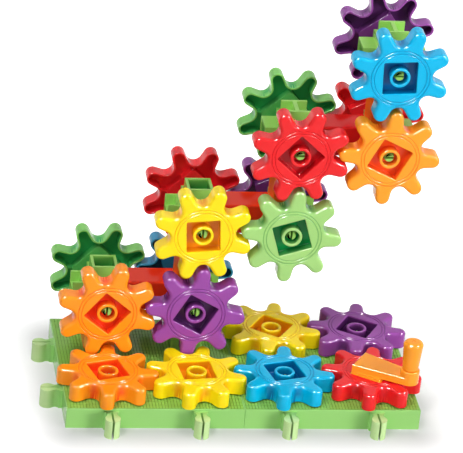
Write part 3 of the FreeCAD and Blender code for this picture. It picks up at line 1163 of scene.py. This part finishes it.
@dataclass(frozen=True)
class Floor:
    """A pale floor that keeps the toy's shadow, and is clear where it is seen from below.

    Where it is seen directly it glows from the first lift beside the toy to the second at fade, in
    metres, from the plates' outline, so that it is darker near the toy: a painted shadow on top of
    the rendered one. scale and shift fit that outline to the toy's foot.
    """

    size: float = 6.0
    tone: float = 0.45
    painted_shadow_lift: tuple[float, float] = (0.1, 0.95)
    fade: float = 0.042
    scale: tuple[float, float, float] = (1.05, 1.0, 1.0)
    shift: tuple[float, float, float] = (0.0, 0.004, 0.0)

    def paint(self) -> bpy.types.Material:
        """Make the floor's material.

        Returns:
            The material.
        """
        paint = bpy.data.materials.new("pale floor")
        paint.use_nodes = True
        nodes = paint.node_tree.nodes
        nodes.remove(nodes["Principled BSDF"])
        shading = Shading(paint.node_tree)
        fitted = shading.add("Mapping", {"Vector": shading.add("TexCoord").outputs["Object"],
                                         "Scale": self.scale, "Location": self.shift})
        past = shading.add("Group", {"Place": fitted.outputs["Vector"], "To": self.fade},
                           node_tree=PastPlates().tree())
        # painted shadow: the floor glows less near the plates
        near, far = self.painted_shadow_lift
        rise = shading.add("MapRange", {"Value": past.outputs["Past"], "To Min": near,
                                        "To Max": far})
        painted_shadow_lift = shading.number("MULTIPLY", shading.seen_directly(), rise.outputs["Result"])
        glow = shading.add("Emission", {"Strength": painted_shadow_lift})
        matt = shading.add("BsdfDiffuse", {"Color": (self.tone, self.tone, self.tone, 1.0)})
        both = shading.add("AddShader", {0: matt.outputs[0], 1: glow.outputs[0]})
        clear = shading.add("BsdfTransparent")
        below = shading.add("NewGeometry").outputs["Backfacing"]
        either = shading.add("MixShader", {"Fac": below, 1: both.outputs[0],
                                           2: clear.outputs[0]})
        shading.feed(nodes["Material Output"].inputs["Surface"], either.outputs[0])
        return paint

    def build(self) -> None:
        """Add the floor."""
        made = bmesh.new()
        bmesh.ops.create_grid(made, x_segments=1, y_segments=1, size=self.size / 2)
        mesh = bpy.data.meshes.new("floor")
        made.to_mesh(mesh)
        made.free()
        floor = bpy.data.objects.new("floor", mesh)
        bpy.context.scene.collection.objects.link(floor)
        mesh.materials.append(self.paint())


@dataclass(frozen=True)
class Sky:
    """White where the camera or a reflection looks, and an even soft light elsewhere."""

    ambient: float = 0.5
    white: float = 1.0

    def build(self) -> None:
        """Make the world."""
        world = bpy.data.worlds.new("studio")
        bpy.context.scene.world = world
        world.use_nodes = True
        nodes = world.node_tree.nodes
        shading = Shading(world.node_tree)
        soft = nodes["Background"]
        shading.feed(soft.inputs["Color"], WHITE)
        shading.feed(soft.inputs["Strength"], self.ambient)
        white = shading.add("Background", {"Color": WHITE, "Strength": self.white})
        either = shading.add("MixShader", {"Fac": shading.seen_directly(), 1: soft.outputs[0],
                                           2: white.outputs[0]})
        shading.feed(nodes["World Output"].inputs["Surface"], either.outputs[0])


@dataclass(frozen=True)
class LongLens:
    """The camera, at the front left and above: its place in metres and its turns in degrees.

    yaw turns it to the right of +Y, pitch tips it down and roll leans it to the left.
    """

    at: tuple[float, float, float] = (-0.38088, -1.92686, 1.15392)
    yaw: float = 10.886
    pitch: float = 27.89
    roll: float = 5.956
    length: float = 271.49
    sensor: float = 36.0

    def build(self) -> None:
        """Add the camera and look through it."""
        yaw, pitch, roll = (math.radians(angle) for angle in (self.yaw, self.pitch, self.roll))
        ahead = Vector((math.sin(yaw) * math.cos(pitch), math.cos(yaw) * math.cos(pitch),
                        -math.sin(pitch)))
        right = Vector((math.cos(yaw), -math.sin(yaw), 0.0))
        up = right.cross(ahead)
        tilted_right = right * math.cos(roll) + up * math.sin(roll)
        tilted_up = up * math.cos(roll) - right * math.sin(roll)
        data = bpy.data.cameras.new("camera")
        data.sensor_width = self.sensor
        data.lens = self.length
        camera = bpy.data.objects.new("camera", data)
        bpy.context.scene.collection.objects.link(camera)
        axes = Matrix((tilted_right, tilted_up, -ahead)).transposed().to_4x4()
        camera.matrix_world = Matrix.Translation(self.at) @ axes
        bpy.context.scene.camera = camera


STUDIO = (
    Floor(),
    Sky(),
    SoftBox("left soft box", (-0.9, -1.0, 1.95), 0.45, 20.0),
    SoftBox("left sheen", (-0.9, -1.0, 1.95), 0.9, 400.0, sheen=True),
    SoftBox("right soft box", (1.5, -0.7, 1.6), 0.4, 11.0),
    SoftBox("right sheen", (1.5, -0.7, 1.6), 0.7, 240.0, sheen=True),
    SoftBox("low right fill", (1.7, -1.9, 0.35), 0.7, 30.0),
    SoftBox("front fill", (-0.4, -2.6, 0.9), 1.6, 4.0),
    LongLens(),
)


# -------------------- the toy

GEAR_FINISH = {
    "orange": Finish.ORANGE, "amber": Finish.AMBER, "yellow": Finish.YELLOW, "blue": Finish.BLUE,
    "red": Finish.RED, "purple": Finish.PURPLE, "green": Finish.LIGHT_GREEN,
}
BACK_GEAR_FINISH = {
    "green": Finish.DARK_GREEN, "blue": Finish.BLUE_PAINTED_BACK_SHADE, "red": Finish.RED_PAINTED_BACK_SHADE,
    "purple": Finish.PURPLE,
}
FIRST_TURNED_AXLE = 5        # this axle and those above it are put in a quarter turn on


def finish_of(node: str) -> Finish:
    """The plastic of a piece.

    Args:
        node: the name of its CAD node.

    Returns:
        The plastic that goes with that name.
    """
    if node.startswith("base_plate"):
        return Finish.PLATE
    if node.startswith("axle") or node == "riser_2":
        return Finish.AXLE
    if node.startswith("crank"):
        return Finish.AMBER
    if node.startswith("lying_pillar"):
        return Finish.PILLAR_RED if node.endswith("3") else Finish.PILLAR_RED_ORANGE
    if node.startswith(("standing_pillar", "riser")):
        return Finish.PILLAR_ORANGE
    if node.startswith("back_gear"):
        return BACK_GEAR_FINISH[node.split("_")[-1]]
    return next(GEAR_FINISH[word] for word in node.split("_") if word in GEAR_FINISH)


def body_of(node: str) -> str:
    """The body that a CAD node rides on."""
    bodies = FRAME["record"]["behaviour"]["bodies"]
    return next(body for body, nodes in bodies.items() if node in nodes)


def pieces_of(node: str) -> list[Piece]:
    """What is shown for a CAD node.

    Args:
        node: its name.

    Returns:
        The node's own piece, and the grid on top of a base plate.
    """
    finish = finish_of(node)
    body = body_of(node)
    if "_gear_" in node:
        return [ToyGear(node, body, finish)]
    if node.startswith("axle"):
        return [SixWayAxle(node, body, finish, int(node[-1]) >= FIRST_TURNED_AXLE)]
    if node.startswith("base_plate"):
        return [Kept(node, body, finish), PlateGrid(node, body, Finish.PLATE_TOP_PAINTED_SHADE)]
    return [Kept(node, body, finish)]


def main() -> None:
    """Build the studio and every piece."""
    logging.basicConfig(level=logging.INFO, format="%(message)s")
    bpy.context.scene.view_settings.view_transform = "Standard"
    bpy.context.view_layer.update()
    for thing in STUDIO:
        thing.build()
    for node in sorted(FRAME["nodes"]):
        for piece in pieces_of(node):
            piece.build()


if __name__ == "__main__":
    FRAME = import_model()
    main()
